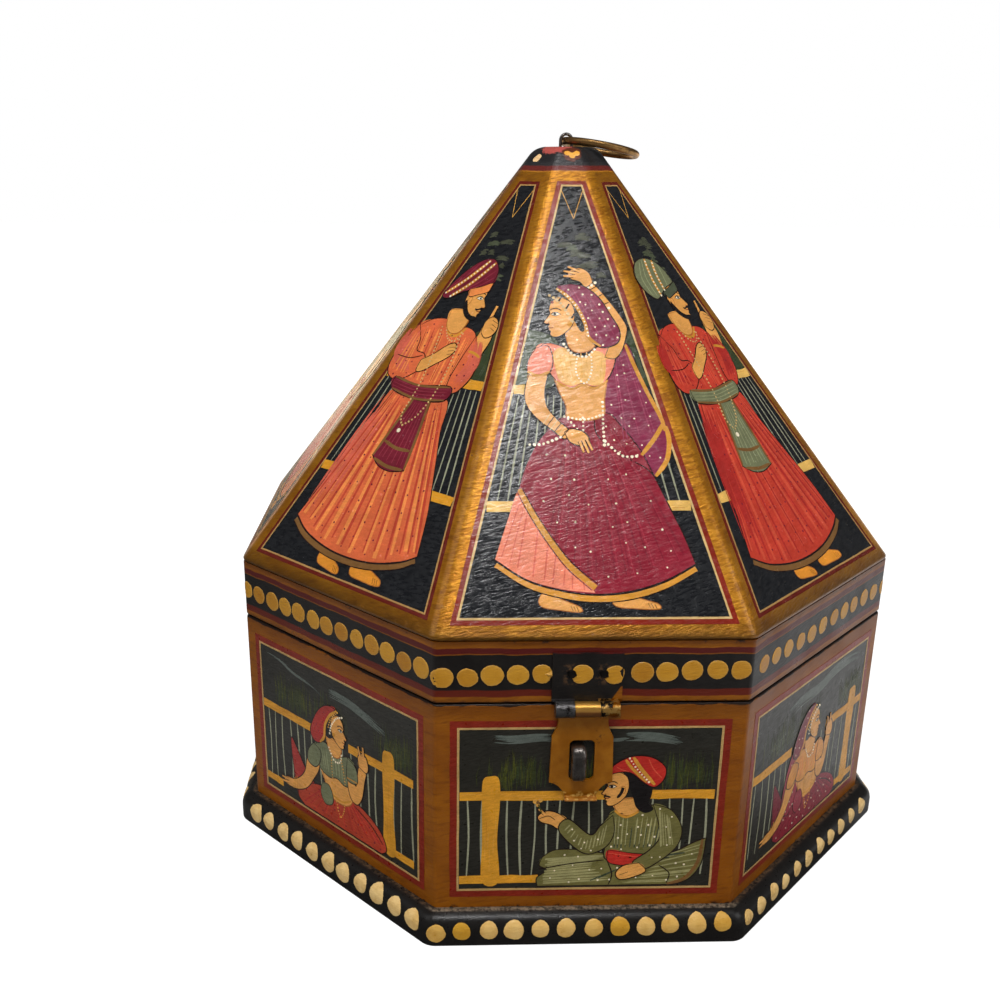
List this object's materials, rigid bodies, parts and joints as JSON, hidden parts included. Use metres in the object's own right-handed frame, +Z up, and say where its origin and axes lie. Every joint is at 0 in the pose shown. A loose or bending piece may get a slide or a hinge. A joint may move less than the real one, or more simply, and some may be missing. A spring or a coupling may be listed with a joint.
{
  "type": "painted octagonal casket",
  "caption": "Octagonal hand-painted wooden casket with a hinged pyramid lid, a front hasp and staple, and a loose carry ring on its cap.",
  "frame": {"origin": "middle of the underside of the foot moulding, on the surface the box stands on", "axes": "+Z up through the cap, -Y out of the front face with the hasp, +X to the right seen from the front"},
  "size_m": [0.206, 0.206, 0.212],
  "materials": {
    "wall_paint": "ochre paint with painted panels under varnish",
    "rim_paint": "black band with gold dots under varnish",
    "plinth_paint": "black paint with gold dots under varnish",
    "roof_paint": "gold-ochre paint with painted panels under varnish",
    "cap_paint": "black paint with gold marks under varnish",
    "inside_paint": "thin dark red paint",
    "leaf_paint": "painted over in black",
    "hasp_brass": "aged, varnished",
    "hinge_brass": "aged",
    "ring_brass": "aged, polished by handling",
    "dark_iron": "dark, worn"
  },
  "bodies": {
    "base": {"floor_board": "inside_paint", "hasp_staple": "dark_iron", "hinge_lower_left": "hinge_brass", "hinge_lower_right": "hinge_brass", "hinge_screws_lower": "hinge_brass", "plinth_front": "plinth_paint", "plinth_front_right": "plinth_paint", "plinth_right": "plinth_paint", "plinth_back_right": "plinth_paint", "plinth_back": "plinth_paint", "plinth_back_left": "plinth_paint", "plinth_left": "plinth_paint", "plinth_front_left": "plinth_paint", "wall_front": "wall_paint", "wall_front_right": "wall_paint", "wall_right": "wall_paint", "wall_back_right": "wall_paint", "wall_back": "wall_paint", "wall_back_left": "wall_paint", "wall_left": "wall_paint", "wall_front_left": "wall_paint"},
    "lid": {"cap_block": "cap_paint", "ring_eye": "dark_iron", "hasp_leaf": "leaf_paint", "hasp_pin": "dark_iron", "hasp_nails": "dark_iron", "hinge_upper_left": "hinge_brass", "hinge_upper_right": "hinge_brass", "hinge_pin_left": "dark_iron", "hinge_pin_right": "dark_iron", "hinge_screws_upper": "hinge_brass", "rim_front": "rim_paint", "rim_front_right": "rim_paint", "rim_right": "rim_paint", "rim_back_right": "rim_paint", "rim_back": "rim_paint", "rim_back_left": "rim_paint", "rim_left": "rim_paint", "rim_front_left": "rim_paint", "roof_front": "roof_paint", "roof_front_right": "roof_paint", "roof_right": "roof_paint", "roof_back_right": "roof_paint", "roof_back": "roof_paint", "roof_back_left": "roof_paint", "roof_left": "roof_paint", "roof_front_left": "roof_paint"},
    "hasp": {"hasp_plate": "hasp_brass"},
    "ring": {"carry_ring": "ring_brass"}
  },
  "joints": [
    {"name": "lid_hinge", "type": "hinge", "parent": "base", "child": "lid", "pos_m": [0, 0.0998, 0.07065], "axis": [-1, 0, 0], "range_deg": [0, 120]},
    {"name": "hasp_swing", "type": "hinge", "parent": "lid", "child": "hasp", "pos_m": [-0.0017, -0.1004, 0.0702], "axis": [-1, 0, 0], "range_deg": [0, 170]},
    {"name": "ring_swing", "type": "hinge", "parent": "lid", "child": "ring", "pos_m": [0, 0, 0.20964], "axis": [0.2756, -0.9613, 0], "range_deg": [0, 159]}
  ]
}
